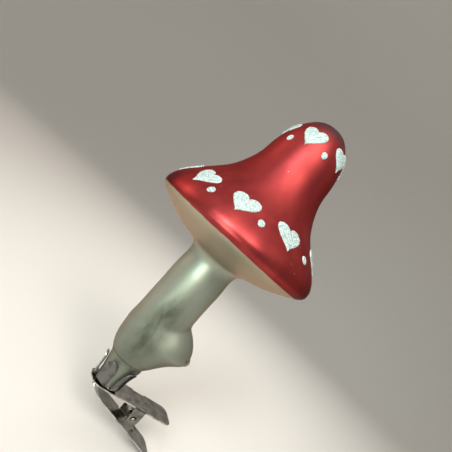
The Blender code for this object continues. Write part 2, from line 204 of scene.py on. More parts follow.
def soft_light(name, azimuth_deg, elevation_deg, distance, size, power, colour, spread_deg):
    """A rectangular lamp that faces the object, unseen by the camera. Its place is an angle to
    the right of the camera's side, an angle above the level and a distance; its size is width
    and height."""
    turn, rise = math.radians(azimuth_deg), math.radians(elevation_deg)
    level = RIGHT * math.sin(turn) - AWAY * math.cos(turn)
    towards = level * math.cos(rise) + UP * math.sin(rise)
    upward = UP * math.cos(rise) - level * math.sin(rise)
    across = upward.cross(towards)
    data = bpy.data.lights.new(name, "AREA")
    data.shape = "RECTANGLE"
    data.size, data.size_y = size
    data.energy = power
    data.color = linear(colour)[:3]
    data.spread = math.radians(spread_deg)
    light = bpy.data.objects.new(name, data)
    bpy.context.scene.collection.objects.link(light)
    light.matrix_world = (Matrix.Translation(UP * AIM_HEIGHT + towards * distance)
                          @ Matrix((across, upward, towards)).transposed().to_4x4())
    light.visible_camera = False


def even_sky():
    """One colour from every side, a little warmer than white."""
    sky = bpy.data.worlds.new("studio_sky")
    sky.use_nodes = True
    background = sky.node_tree.nodes["Background"]
    background.inputs["Color"].default_value = linear(SKY_COLOUR)
    background.inputs["Strength"].default_value = SKY_STRENGTH
    bpy.context.scene.world = sky


studio_bowl()
soft_light("window_light", -22, 28, 0.72, (0.18, 0.84), 0.6, "FAFFFC", 40)
soft_light("stem_light", -21, 0, 0.62, (0.6, 0.2), 0.17, "D0FFF2", 37)
soft_light("wide_light", 9, 40, 0.78, (0.42, 0.66), 0.6, "FFF8EE", 45)
soft_light("overhead_light", -18, 72, 0.8, (0.5, 0.3), 0.16, "FFFDFA", 80)
soft_light("low_light", -9, -4, 0.6, (0.8, 0.02), 0.055, "FFEAD8", 26)
soft_light("fill_light", -96, 18, 0.9, (1.2, 0.7), 0.6, "FFDDD0", 55)
soft_light("back_light", 170, 42, 1.1, (1.0, 0.8), 0.4, "FFFBF4", 70)
even_sky()
bpy.context.scene.view_settings.view_transform = "Standard"
bpy.context.scene.view_settings.look = "None"


# Blown glass body
# One bubble of thin clear glass, blown into a mould, silvered inside and lacquered outside:
# candy red over the cap, pearl white below. The stem's foot has a bud with a pip of glass.
TIP_Z = 136.0
RIM_Z = 79.2
PROFILE = [
    (0.0, TIP_Z), (6.1, 134.7), (12.0, 127.8), (14.6, 119.5), (16.3, 108.8), (20.9, 98.8),
    (29.0, 89.6), (34.6, 83.0), (36.1, RIM_Z), (35.5, 76.5), (22.5, 69.8), (12.0, 66.4),
    (10.8, 63.8), (11.0, 56.0), (10.9, 46.0), (11.0, 39.1), (11.0, 35.4), (11.1, 31.8),
    (11.3, 28.1), (10.9, 24.4), (10.4, 20.6), (9.4, 17.0), (7.2, 13.0),
]
NECK = [(7.05, 12.6), (6.85, 12.2), (6.7, 11.8), (6.4, 10.2), (6.1, 8.6), (5.7, 6.9), (5.3, 5.2),
        (5.15, 3.3), (5.1, 1.5)]
BEFORE_TIP = (-6.1, 134.7)
ROWS_PER_SPAN = 12
GLASS_COLUMNS = 224
GLASS_WALL = 0.8
INNER_ROW_STEP = 6
CREASE_Z = 13.0
FRONT_DEG = -114.0

BUD_DEG = FRONT_DEG + 80.0
BUD_Z = 28.1
BUD_REACH = 8.3
BUD_ROUNDNESS = 0.87
BUD_SPREAD_DEG = 32.0
BUD_RISE = 5.5
BUD_FALL = 3.2
BUD_FALL_POWER = 1.22
BUD_NOSE_RADIUS = 20.0
PIP_Z = 28.6
PIP_HEIGHT = 0.55
PIP_WIDTH = 1.5
GROOVE_DEPTH = 0.3
GROOVE_RADIUS = 2.1
GROOVE_WIDTH = 0.5

LEAN_SHIFT = 0.93
LEAN_FROM_Z = 64.0
LEAN_LENGTH = 66.0
RIM_TILT = 0.02
TILT_FADE = 9.0
# Height of each wave, its count round the glass, its drift per millimetre upwards and its start.
WAVES = [(0.05, 3, 0.11, 0.0), (0.035, 5, -0.17, 2.0)]


def through(points, per_span, before):
    """Curve through points: each span blends the lines through its four nearest points, with
    knots spaced by the square root of the distances."""
    points = np.array(points, float)
    knots = np.vstack([before, points, 2 * points[-1] - points[-2]])
    spans = len(knots) - 3
    a, b, c, d = (knots[i:i + spans, None] for i in range(4))
    t1, t2, t3 = (np.sqrt(np.linalg.norm(q - p, axis=2, keepdims=True))
                  for p, q in ((a, b), (b, c), (c, d)))
    t2 = t1 + t2
    t3 = t2 + t3
    t = t1 + (t2 - t1) * (np.arange(per_span) / per_span)[None, :, None]
    ab = a + (b - a) * t / t1
    bc = b + (c - b) * (t - t1) / (t2 - t1)
    cd = c + (d - c) * (t - t2) / (t3 - t2)
    abc = ab + (bc - ab) * t / t2
    bcd = bc + (cd - bc) * (t - t1) / (t3 - t1)
    curve = abc + (bcd - abc) * (t - t1) / (t2 - t1)
    return np.vstack([curve.reshape(-1, knots.shape[1]), knots[-2]])


def length_along(path):
    """Distance of each point of a path from its first one, measured along the path."""
    return np.concatenate([[0], np.cumsum(np.hypot(*np.diff(path, axis=0).T))])


profile = np.vstack([through(PROFILE, ROWS_PER_SPAN, BEFORE_TIP), NECK])
profile[:, 0] = np.maximum(profile[:, 0], 0)
profile_length = length_along(profile)


def smooth_step(value, low, high):
    """0 below low, 1 above high, and an S-curve between."""
    share = np.clip((value - low) / (high - low), 0, 1)
    return share * share * (3 - 2 * share)


def bud(turn_deg, z):
    """Swell of the bud: a round knob above its widest height, trailing off below it, a bell
    across, plus a small pip with a groove round it where the glass was drawn off."""
    away = (turn_deg - BUD_DEG + 180) % 360 - 180
    spread = np.exp(-(away / BUD_SPREAD_DEG) ** 2 / 2)
    height = z - BUD_Z
    knob = 1 - (height / (BUD_RISE * (1 + spread))) ** 2
    soft = 0.002 + 0.2 * (1 - spread)
    knob = (knob + np.sqrt(knob ** 2 + soft)) / (1 + np.sqrt(1 + soft))
    above = spread * knob ** BUD_ROUNDNESS
    fall = (np.sqrt(height ** 2 + 2) - math.sqrt(2)) / BUD_FALL
    below = spread * np.exp(-fall ** BUD_FALL_POWER / 2)
    swell = BUD_REACH * np.where(height > 0, above, below)
    across = np.radians(away) * BUD_NOSE_RADIUS
    pip = PIP_HEIGHT * np.exp(-((z - PIP_Z) / PIP_WIDTH) ** 2 - (across / PIP_WIDTH) ** 2)
    ring = np.hypot((z - PIP_Z) / 1.2, across)
    groove = GROOVE_DEPTH * np.exp(-((ring - GROOVE_RADIUS) / GROOVE_WIDTH) ** 2)
    return (swell + pip - groove) * smooth_step(z, CREASE_Z - 1.0, CREASE_Z + 1.5)


def glass_surface(turn_deg, length):
    """Point of the outer face, in millimetres: the profile turned about Z, swelled by the bud and
    by faint waves left by the blowing, then shifted and tipped as the cap is out of true."""
    r = np.interp(length, profile_length, profile[:, 0])
    z = np.interp(length, profile_length, profile[:, 1])
    turn = np.radians(turn_deg)
    wave = sum(high * np.sin(count * turn + drift * z + start) for high, count, drift, start in WAVES)
    swell = bud(turn_deg, z) + wave * smooth_step(r, 5, 12) * smooth_step(z, 14, 24)
    x = (r + swell) * np.cos(turn)
    y = (r + swell) * np.sin(turn)
    shift = LEAN_SHIFT * (np.clip(z - LEAN_FROM_Z, 0, None) / LEAN_LENGTH) ** 1.5
    share = np.where(z > RIM_Z, np.exp(-((z - RIM_Z) / TILT_FADE) ** 2), smooth_step(z, 61, 69))
    tip = RIM_TILT * (x * RIGHT.x + y * RIGHT.y) * share
    return np.stack([x + shift * RIGHT.x, y + shift * RIGHT.y, z + tip], -1)


def glass_normal(turn_deg, length):
    """Outward unit normal of the outer face: the cross product of its two slopes."""
    step = 0.15
    down = glass_surface(turn_deg, length + step) - glass_surface(turn_deg, length - step)
    along = glass_surface(turn_deg + step, length) - glass_surface(turn_deg - step, length)
    normal = np.cross(down, along)
    return normal / np.maximum(np.linalg.norm(normal, axis=-1, keepdims=True), 1e-9)


def cells(size):
    """Scale that makes a pattern's cells this many millimetres, on coordinates in metres."""
    return 1 / (size * MM)


def red_share(tree, place):
    """1 where the lacquer is red, 0 below: height over a slightly tilted plane, made ragged by a
    slow and a fine noise as a brush leaves it, and cut off over a quarter of a millimetre."""
    plane = node(tree, "ShaderNodeVectorMath", [(place, 0)], operation="DOT_PRODUCT",
                 in_1=(0.0125, -0.0162, 1.0))
    slow = node(tree, "ShaderNodeTexNoise", [(place, "Vector")], in_Scale=cells(13.3),
                in_Detail=2.0)
    fine = node(tree, "ShaderNodeTexNoise", [(place, "Vector")], in_Scale=cells(1.43),
                in_Detail=3.0)
    wobble = node(tree, "ShaderNodeMath", [(slow.outputs["Fac"], 0)], operation="MULTIPLY",
                  in_1=0.9 * MM)
    ragged = node(tree, "ShaderNodeMath", [(fine.outputs["Fac"], 0), (wobble.outputs[0], 2)],
                  operation="MULTIPLY_ADD", in_1=0.25 * MM)
    level = node(tree, "ShaderNodeMath", [(plane.outputs["Value"], 0), (ragged.outputs[0], 1)],
                 operation="ADD")
    return node(tree, "ShaderNodeMapRange", [(level.outputs[0], "Value")],
                in_From_Min=76.75 * MM, in_From_Max=77.0 * MM)


def height_share(tree, height, low, high, at_low, at_high):
    """A value that goes in an S-curve from one at the low height to the other at the high one."""
    return node(tree, "ShaderNodeMapRange", [(height, "Value")], interpolation_type="SMOOTHSTEP",
                in_From_Min=low * MM, in_From_Max=high * MM, in_To_Min=at_low, in_To_Max=at_high)


def laid_over(tree, ground, layers):
    """A colour under a stack of thin layers, each a share and the colour it brings."""
    for share, colour in layers:
        mixed = node(tree, "ShaderNodeMix", [(share.outputs[0], "Factor"), (ground, 6)],
                     data_type="RGBA", in_7=linear(colour))
        ground = mixed.outputs[2]
    return ground


def red_lacquer(tree, place, cloud, height):
    """Candy red in slow clouds, with dark upright streaks down the cap and a greyed tip, both painted
    reflections, and a few pale specks of dust."""
    red = node(tree, "ShaderNodeMix", [(cloud.outputs["Fac"], "Factor")], data_type="RGBA",
               in_6=linear("8B2E2E"), in_7=linear("B04541"))
    # Painted reflection: dark upright streaks of the surroundings, stretched along Z and laid over
    # the red.
    drawn = node(tree, "ShaderNodeMapping", [(place, "Vector")],
                 in_Scale=(cells(6.67), cells(6.67), cells(71.4)))
    reflection_streaks = node(tree, "ShaderNodeTexNoise", [(drawn.outputs[0], "Vector")], in_Scale=1.0,
                in_Detail=3.0)
    dark_reflections = node(tree, "ShaderNodeMapRange", [(reflection_streaks.outputs["Fac"], "Value")],
                in_From_Min=0.3, in_From_Max=0.7, in_To_Min=0.0, in_To_Max=0.42)
    # Painted reflection: the tip greyed towards purple, as if it mirrored something dark above it.
    tip_reflection = height_share(tree, height, 128.5, 133.5, 0.0, 0.85)
    dust = node(tree, "ShaderNodeTexVoronoi", [(place, "Vector")], in_Scale=cells(4.35))
    speck = node(tree, "ShaderNodeMapRange", [(dust.outputs["Distance"], "Value")],
                 in_From_Min=0.03, in_From_Max=0.055, in_To_Min=0.6, in_To_Max=0.0)
    return laid_over(tree, red.outputs[2], [(dark_reflections, "5A1426"), (tip_reflection, "62484E"),
                                            (speck, "E8B4B4")])


def stain_share(tree, place, mottle):
    """An upright oval on the front of the stem where fingers have dulled it, broken into patches
    by the mottle."""
    offset = node(tree, "ShaderNodeVectorMath", [(place, 0)], operation="SUBTRACT",
                  in_1=(-4.2 * MM, -10.0 * MM, 33.0 * MM))
    scaled = node(tree, "ShaderNodeVectorMath", [(offset.outputs[0], 0)], operation="MULTIPLY",
                  in_1=(cells(8.47), cells(8.47), cells(25.0)))
    reach = node(tree, "ShaderNodeVectorMath", [(scaled.outputs[0], 0)], operation="LENGTH")
    near = node(tree, "ShaderNodeMapRange", [(reach.outputs["Value"], "Value")],
                interpolation_type="SMOOTHSTEP", in_From_Min=0.15, in_From_Max=1.1,
                in_To_Min=0.95, in_To_Max=0.0)
    patches = node(tree, "ShaderNodeMapRange", [(mottle.outputs["Fac"], "Value")],
                   in_From_Min=0.36, in_From_Max=0.62, in_To_Min=0.62, in_To_Max=1.0)
    return node(tree, "ShaderNodeMath", [(near.outputs[0], 0), (patches.outputs[0], 1)],
                operation="MULTIPLY")


def round_mark(tree, place, centre, solid, clear, strength):
    """A round mark: its strength up to one distance from its centre, fading out to another."""
    middle = tuple(value * MM for value in centre)
    reach = node(tree, "ShaderNodeVectorMath", [(place, 0)], operation="DISTANCE", in_1=middle)
    return node(tree, "ShaderNodeMapRange", [(reach.outputs["Value"], "Value")],
                interpolation_type="SMOOTHSTEP", in_From_Min=solid * MM,
                in_From_Max=clear * MM, in_To_Min=strength, in_To_Max=0.0)


def pearl_lacquer(tree, place, cloud, height, handled, stained):
    """Pearl in slow clouds: lighter under the cap as painted light, dusky at the foot, stained in
    front, with a painted shade line round the fold of the neck, and on the pip a dark scar and
    a painted highlight at its tip."""
    pearl = node(tree, "ShaderNodeMix", [(cloud.outputs["Fac"], "Factor")], data_type="RGBA",
                 in_6=linear("80867A"), in_7=linear("A4AA9D"))
    # Painted light: the pearl is lighter and a little yellower under the cap, in place of light
    # thrown up from below.
    underside_light = height_share(tree, height, 63.5, 71.5, 0.0, 1.0)
    # Painted shade: a dark line in the fold round the neck.
    from_crease = node(tree, "ShaderNodeMath", [(height, 0)], operation="SUBTRACT",
                       in_1=14.4 * MM)
    gap = node(tree, "ShaderNodeMath", [(from_crease.outputs[0], 0)], operation="ABSOLUTE")
    crease_shade = node(tree, "ShaderNodeMapRange", [(gap.outputs[0], "Value")],
                  in_From_Min=0.1 * MM, in_From_Max=0.4 * MM, in_To_Min=0.7, in_To_Max=0.0)
    scar = round_mark(tree, place, (13.9, -12.9, 29.5), 0.3, 1.0, 0.75)
    # Painted highlight: a pale spot on the tip of the pip.
    pip_highlight = round_mark(tree, place, (16.2, -11.2, 28.4), 0.5, 1.5, 0.6)
    return laid_over(tree, pearl.outputs[2], [(underside_light, "A5A08E"), (handled, "4E544A"),
                                              (stained, "3F4338"), (crease_shade, "2E322B"),
                                              (scar, "2A2A28"), (pip_highlight, "D3D6CE")])


def lacquer_material():
    """Lacquer over silvered glass: a metallic colour that glows in a satin film. The red is a
    little smoother at the rim, and the pearl duller where it is handled and stained."""
    material, tree, shader = new_material("lacquer_over_silvered_glass", Coat_Weight=0.07,
                                          Coat_Roughness=0.35)
    place = node(tree, "ShaderNodeTexCoord").outputs["Object"]
    height = node(tree, "ShaderNodeSeparateXYZ", [(place, "Vector")]).outputs["Z"]
    cloud = node(tree, "ShaderNodeTexNoise", [(place, "Vector")], in_Scale=cells(26.3),
                 in_Detail=3.0, in_Roughness=0.55)
    upright = node(tree, "ShaderNodeMapping", [(place, "Vector")],
                   in_Scale=(cells(3.85), cells(3.85), cells(10.5)))
    mottle = node(tree, "ShaderNodeTexNoise", [(upright.outputs[0], "Vector")], in_Scale=1.0,
                  in_Detail=5.0, in_Roughness=0.6)
    handled = height_share(tree, height, 20.0, 42.0, 0.48, 0.0)
    stained = stain_share(tree, place, mottle)
    is_red = red_share(tree, place).outputs[0]
    pearl = pearl_lacquer(tree, place, cloud, height, handled, stained)
    red = red_lacquer(tree, place, cloud, height)
    colour = node(tree, "ShaderNodeMix", [(is_red, "Factor"), (pearl, 6), (red, 7)],
                  data_type="RGBA")
    edge = node(tree, "ShaderNodeMix", [(is_red, "Factor")], data_type="RGBA",
                in_6=linear("D89C80"), in_7=linear("6A1C20"))
    metal = node(tree, "ShaderNodeMapRange", [(is_red, "Value")], in_To_Min=0.75,
                 in_To_Max=0.88)
    rim_gloss = height_share(tree, height, 79.5, 83.5, 0.27, 0.42)
    satin = node(tree, "ShaderNodeMapRange", [(is_red, "Value"),
                                              (rim_gloss.outputs[0], "To Max")], in_To_Min=0.37)
    rough = satin.outputs[0]
    for share, amount in ((stained.outputs[0], 0.25), (handled.outputs[0], 0.2),
                          (mottle.outputs["Fac"], 0.08)):
        rougher = node(tree, "ShaderNodeMath", [(share, 0), (rough, 2)],
                       operation="MULTIPLY_ADD", in_1=amount)
        rough = rougher.outputs[0]
    grain = node(tree, "ShaderNodeTexNoise", [(place, "Vector")], in_Scale=cells(0.667),
                 in_Detail=2.0)
    bump = node(tree, "ShaderNodeBump", [(grain.outputs["Fac"], "Height")], in_Strength=0.25,
                in_Distance=0.03 * MM)
    tree.links.new(colour.outputs[2], shader.inputs["Base Color"])
    tree.links.new(edge.outputs[2], shader.inputs["Specular Tint"])
    tree.links.new(metal.outputs[0], shader.inputs["Metallic"])
    tree.links.new(rough, shader.inputs["Roughness"])
    tree.links.new(bump.outputs["Normal"], shader.inputs["Normal"])
    return material


def glass_body():
    """Outer face from the tip to the neck's end, then an inner face one wall inside it that ends
    in a point under the tip."""
    turn = np.linspace(0, 360, GLASS_COLUMNS, endpoint=False)[None, :]
    outer = glass_surface(turn, profile_length[:, None])
    length = profile_length[::-INNER_ROW_STEP, None]
    off_ends = np.clip(length, 0.2, profile_length[-1] - 0.2)
    inner = glass_surface(turn, length) - GLASS_WALL * glass_normal(turn, off_ends)
    inner[-1] = outer[0][:1] - (0, 0, GLASS_WALL)
    grid = np.concatenate([outer, inner])
    piece = new_piece("glass_body", grid_points(grid, True, True),
                      faces_of(len(grid), GLASS_COLUMNS, True, True), lacquer_material())
    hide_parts("glass_mushroom")
    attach(piece, "ornament")


glass_body()


# Raised hearts and dots
# Thick white paint laid on the lacquer with a fine tube and strewn with clear glitter while
# wet. It dries as a low cushion with a steep edge, and each heart is a little different.
PAINT_HEIGHT = 0.45
PAINT_RINGS = 11
# The outer rings' distances from the outline in millimetres, and the heights of those rings and
# of the underside's middle as shares of the paint's height. Below zero is inside the glass.
EDGE_INSETS = [0.45, 0.3, 0.2, 0.12, 0.05, 0.0, 0.0]
EDGE_HEIGHTS = [0.98, 0.9, 0.78, 0.6, 0.38, 0.12, -0.25, -0.25]
OUTLINE_ROUGHNESS = 0.05
PAINT_GRAIN = 0.035
HEART_COLUMNS = 96
HEART_SERIES = [2.6, 13.0, -4.5, -1.8, -0.6]
HEART_SPAN = 27.5
NOTCH_WIDTH = 0.16
DOT_COLUMNS = 48
DOT_SIZES = {"upper": 2.8, "lower": 3.1}
# Turn from the front in degrees and height, then width, length, lift of one lobe, push of the
# tip to the side and depth added to the notch.
HEARTS = {
    "upper": [(-81, 124.2, 9.2, 7.7, 0.3, 0.0, 0.2), (-20, 124.8, 9.6, 9.4, 0.25, -0.2, 0.2),
              (48, 125.7, 9.5, 8.9, 0.2, 0.4, 0.3), (98, 125.0, 10.1, 9.4, 0.2, 0.1, 0.2),
              (160, 125.6, 10.0, 9.5, -0.2, 0.3, 0.3), (222, 124.8, 10.3, 9.3, 0.3, 0.0, 0.2)],
    "lower": [(-84, 86.9, 10.4, 9.2, 0.3, 0.2, 0.3), (-46, 86.9, 11.0, 9.5, -0.4, -0.5, 0.1),
              (-12, 88.1, 10.6, 9.8, 0.5, -0.5, 0.2), (26, 89.6, 11.8, 9.9, 0.3, 1.0, 0.3),
              (76, 90.0, 11.2, 10.0, 0.3, 0.2, 0.2), (117, 89.2, 11.0, 9.8, 0.2, 0.3, 0.3),
              (158, 88.2, 11.3, 9.9, -0.3, 0.0, 0.2), (199, 87.6, 10.8, 9.7, 0.4, -0.3, 0.3),
              (240, 88.3, 11.1, 9.8, 0.2, 0.2, 0.2)],
}
DOTS = {
    "upper": [(-48, 119.8), (13, 122.2), (82, 122.2), (130, 120.6), (191, 121.4), (253, 120.2)],
    "lower": [(-32, 84.8), (4, 87.1), (48, 88.0), (97, 87.6), (137, 86.0), (179, 85.4),
              (219, 85.8), (261, 85.2)],
}


def glitter_material():
    """White paint full of clear glitter, each flake tilted its own way, some bright and glassy,
    some shaded grey. The real flakes are too fine to show, so cells of a third of a millimetre
    are drawn."""
    material, tree, shader = new_material("white_glitter_paint", Coat_Weight=0.2,
                                          Coat_Roughness=0.15)
    place = node(tree, "ShaderNodeTexCoord").outputs["Object"]
    flakes = node(tree, "ShaderNodeTexVoronoi", [(place, "Vector")], in_Scale=cells(1 / 3))
    shade = node(tree, "ShaderNodeSeparateColor", [(flakes.outputs["Color"], 0)])
    tint = node(tree, "ShaderNodeValToRGB", [(shade.outputs[0], "Fac")])
    ramp = tint.color_ramp
    ramp.elements[0].position = 0.0
    ramp.elements[0].color = linear("76878A")
    ramp.elements[1].position = 0.32
    ramp.elements[1].color = linear("97ABAB")
    ramp.elements.new(1.0).color = linear("C6D4D2")
    gloss = node(tree, "ShaderNodeMapRange", [(shade.outputs[1], "Value")], in_To_Min=0.2,
                 in_To_Max=0.65)
    lumps = node(tree, "ShaderNodeTexNoise", [(place, "Vector")], in_Scale=cells(0.714),
                 in_Detail=3.0)
    mixed = node(tree, "ShaderNodeMath", [(shade.outputs[2], 0), (lumps.outputs["Fac"], 1)],
                 operation="ADD")
    bump = node(tree, "ShaderNodeBump", [(mixed.outputs[0], "Height")], in_Strength=0.7,
                in_Distance=0.12 * MM)
    tree.links.new(tint.outputs["Color"], shader.inputs["Base Color"])
    tree.links.new(gloss.outputs[0], shader.inputs["Roughness"])
    tree.links.new(bump.outputs["Normal"], shader.inputs["Normal"])
    return material


def heart_shape(width, height, lift, tip_aside, notch):
    """Heart seen flat, notch up: across is a cubed sine and up a short cosine series, with the
    right lobe lifted, the tip pushed aside and the notch deepened."""
    t = np.linspace(0, 2 * np.pi, HEART_COLUMNS, endpoint=False)
    low = ((1 - np.cos(t)) / 2) ** 3
    across = np.sin(t) ** 3 * width / 2 + tip_aside * low
    series = sum(part * np.cos(order * t) for order, part in enumerate(HEART_SERIES))
    dip = notch * np.exp(-(np.sin(t / 2) / NOTCH_WIDTH) ** 2)
    return across, series / HEART_SPAN * height + lift * np.sin(t) * (1 - low) - dip


def dot_shape(width, height, seed):
    """A round blob, a little longer than wide or wider than long, with a slight wobble."""
    t = np.linspace(0, 2 * np.pi, DOT_COLUMNS, endpoint=False)
    radius = 1 + 0.04 * np.sin(2 * t + seed) + 0.03 * np.sin(3 * t + 2 * seed)
    return np.sin(t) * radius * width / 2, np.cos(t) * radius * height / 2


def paint_patch(name, place, shape, draw, node_name, material):
    """A cushion of paint over its outline: rings from the middle to the edge and under it. Its
    height is nearly even and falls off in a quarter round at the edge."""
    turn_deg, z = place
    across, up = shape
    rough = draw.normal(0, OUTLINE_ROUGHNESS, len(across))
    rough = (rough + np.roll(rough, 1)) / 2
    reach = np.hypot(across, up)
    across = across * (1 + rough / np.maximum(reach, 1))
    up = up * (1 + rough / np.maximum(reach, 1))
    inset = 1 - np.array(EDGE_INSETS)[:, None] / np.maximum(reach, 0.8)
    inner = np.linspace(0, 1, PAINT_RINGS, endpoint=False)[:, None] * inset[:1]
    share = np.vstack([inner, inset, 0 * inset[:1]])
    fall = np.concatenate([np.ones(PAINT_RINGS), EDGE_HEIGHTS])
    height = PAINT_HEIGHT * fall[:, None] + 0 * share
    grain = draw.normal(0, PAINT_GRAIN, height.shape) * (height > 0.1)
    length = np.interp(-z, -profile[:, 1], profile_length) - up * share
    radius = np.interp(length, profile_length, profile[:, 0])
    angle = FRONT_DEG + turn_deg + np.degrees(across * share / radius)
    grid = glass_surface(angle, length) + glass_normal(angle, length) * (height + grain)[..., None]
    faces = [face[::-1] for face in faces_of(len(grid), grid.shape[1], True, True)]
    piece = new_piece(name, grid_points(grid, True, True), faces, material, smooth_angle=None)
    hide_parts(node_name)
    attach(piece, "ornament")


def paint_patches():
    """Two rings of hearts, then two rings of dots that sit between them."""
    draw = np.random.default_rng(5)
    glitter = glitter_material()
    for ring, hearts in HEARTS.items():
        for number, (turn, z, *shape) in enumerate(hearts, 1):
            paint_patch(f"painted_heart_{ring}_{number}", (turn, z), heart_shape(*shape), draw,
                        f"heart_{ring}_{number}", glitter)
    for ring, dots in DOTS.items():
        for number, place in enumerate(dots, 1):
            width, height = draw.uniform(0.9, 1.12, 2) * DOT_SIZES[ring]
            paint_patch(f"painted_dot_{ring}_{number}", place, dot_shape(width, height, number),
                        draw, f"dot_{ring}_{number}", glitter)


paint_patches()


# Crown
# A star stamped from tinned sheet, its five prongs bent up by hand to grip the glass neck, so
# they flare by different amounts. Rounded tips, cut edges in a lighter metal that is a painted
# highlight, a dull rolled face.
CROWN_SHEET = 0.4
CROWN_FLOOR = 1.2
CROWN_EDGE = 0.07
DISC_RADIUS = 5.0
DISC_ROWS = 5
RIVET_HOLE_RADIUS = 1.2
PRONG_PATH = [(5.0, 1.2), (5.8, 1.3), (6.2, 1.9), (6.35, 4.0), (6.6, 6.4)]
BEFORE_PRONG = (4.2, 1.2)
# Each prong's turn from the front in degrees, then the radius and the height of its tip.
PRONGS = [(-89, 7.5, 11.0), (-17, 7.7, 11.6), (55, 8.3, 12.2), (127, 9.5, 11.6), (199, 8.2, 11.8)]
PRONG_HALF_WIDTH = 2.6
PRONG_NARROW_RADIUS = 6.2
PRONG_ROOT_DEG = 24.0
PRONG_ROOT_ROWS = 6
PRONG_ROOT_STEP_DEG = 0.1
PRONG_TIP_LENGTH = 3.0
PRONG_COLUMNS = 15
MERGE_DISTANCE = 0.002


def plated_material(name, colour, dark, roughness, streaks):
    """Tin-plated rolled steel: a metal with fine rolling streaks, given as cell sizes along X, Y
    and Z, and stains of a few millimetres that darken and dull it."""
    material, tree, shader = new_material(name, Metallic=1.0)
    place = node(tree, "ShaderNodeTexCoord").outputs["Object"]
    stretched = node(tree, "ShaderNodeMapping", [(place, "Vector")],
                     in_Scale=[cells(size) for size in streaks])
    rolled = node(tree, "ShaderNodeTexNoise", [(stretched.outputs[0], "Vector")], in_Scale=1.0,
                  in_Detail=4.0)
    stains = node(tree, "ShaderNodeTexNoise", [(place, "Vector")], in_Scale=cells(3.33),
                  in_Detail=3.0, in_Roughness=0.5)
    worn = node(tree, "ShaderNodeMapRange", [(stains.outputs["Fac"], "Value")],
                in_From_Min=0.32, in_From_Max=0.6)
    tint = node(tree, "ShaderNodeMix", [(worn.outputs[0], "Factor")], data_type="RGBA",
                in_6=linear(dark), in_7=linear(colour))
    rough = node(tree, "ShaderNodeMapRange", [(stains.outputs["Fac"], "Value")],
                 in_From_Min=0.3, in_From_Max=0.7, in_To_Min=roughness + 0.1,
                 in_To_Max=roughness)
    bump = node(tree, "ShaderNodeBump", [(rolled.outputs["Fac"], "Height")], in_Strength=0.2,
                in_Distance=0.02 * MM)
    tree.links.new(tint.outputs[2], shader.inputs["Base Color"])
    tree.links.new(rough.outputs[0], shader.inputs["Roughness"])
    tree.links.new(bump.outputs["Normal"], shader.inputs["Normal"])
    return material


def turned(turn_deg, radius, z):
    """Points at an angle about Z, a radius and a height."""
    turn = np.radians(turn_deg)
    return np.stack(np.broadcast_arrays(radius * np.cos(turn), radius * np.sin(turn), z), -1)


def quads_of(rows, columns):
    """The four corners of each cell of an open grid, as a table of cells."""
    index = np.arange(rows * columns).reshape(rows, columns)
    return np.stack([index[:-1, :-1], index[:-1, 1:], index[1:, 1:], index[1:, :-1]], -1)


def add_grid(points, faces, grid, grid_faces):
    """Add a grid's points and its faces, which count from the grid's own first point."""
    start = sum(len(block) for block in points)
    points.append(grid.reshape(-1, 3))
    faces.extend((np.array(grid_faces).reshape(-1, 4) + start).tolist())


def sheet_metal(name, points, faces, material, facing, thickness, edge):
    """One sheet from its outer face: grids that meet are joined, the faces are turned so that the
    flat ones look up (facing 1) or down (facing -1), and the sheet gets its thickness inwards, a
    cut edge in a lighter metal as a painted highlight, and small rounded corners."""
    piece = new_piece(name, np.concatenate(points) * MM, faces, material)
    bm = bmesh.new()
    bm.from_mesh(piece.data)
    bmesh.ops.remove_doubles(bm, verts=bm.verts, dist=MERGE_DISTANCE * MM)
    bmesh.ops.recalc_face_normals(bm, faces=bm.faces)
    flat = max(bm.faces, key=lambda face: abs(face.normal.z) * face.calc_area())
    if flat.normal.z * facing < 0:
        bmesh.ops.reverse_faces(bm, faces=bm.faces)
    bm.to_mesh(piece.data)
    bm.free()
    # The rim faces take the lighter edge metal, a painted highlight along each cut edge.
    piece.data.materials.append(cut_edge_highlight)
    solid = piece.modifiers.new("thickness", "SOLIDIFY")
    solid.thickness = thickness * MM
    solid.offset = -1.0
    solid.material_offset_rim = 1
    solid.use_even_offset = True
    bevel = piece.modifiers.new("edges", "BEVEL")
    bevel.width = edge * MM
    bevel.segments = 2
    bevel.limit_method = "ANGLE"
    bevel.angle_limit = math.radians(50)
    return piece


def prong(turn_deg, flare, top):
    """A path of radius and height with a half width that keeps its length along the arc and
    closes in a half ellipse at the tip. At the root it is as wide as the disc's side."""
    radius, height = PRONG_PATH[-1]
    bend = ((radius + flare) / 2 - 0.1, (height + top) / 2)
    path = through(PRONG_PATH + [bend, (flare + 0.1, top)], PRONG_ROOT_ROWS, BEFORE_PRONG)
    run = length_along(path)
    left = (run[-1] - run) / PRONG_TIP_LENGTH
    narrow = np.sqrt(np.clip(1 - np.clip(1 - left, 0, 1) ** 2, 0.004, 1))
    half = np.degrees(PRONG_HALF_WIDTH / np.maximum(path[:, 0], PRONG_NARROW_RADIUS)) * narrow
    root = np.arange(1, PRONG_ROOT_ROWS + 1)
    half[0] = PRONG_ROOT_DEG
    half[root] = np.maximum(half[root], PRONG_ROOT_DEG - root * PRONG_ROOT_STEP_DEG)
    spread = np.linspace(-1, 1, PRONG_COLUMNS)
    return turned(FRONT_DEG + turn_deg + half[:, None] * spread, path[:, :1], path[:, 1:])


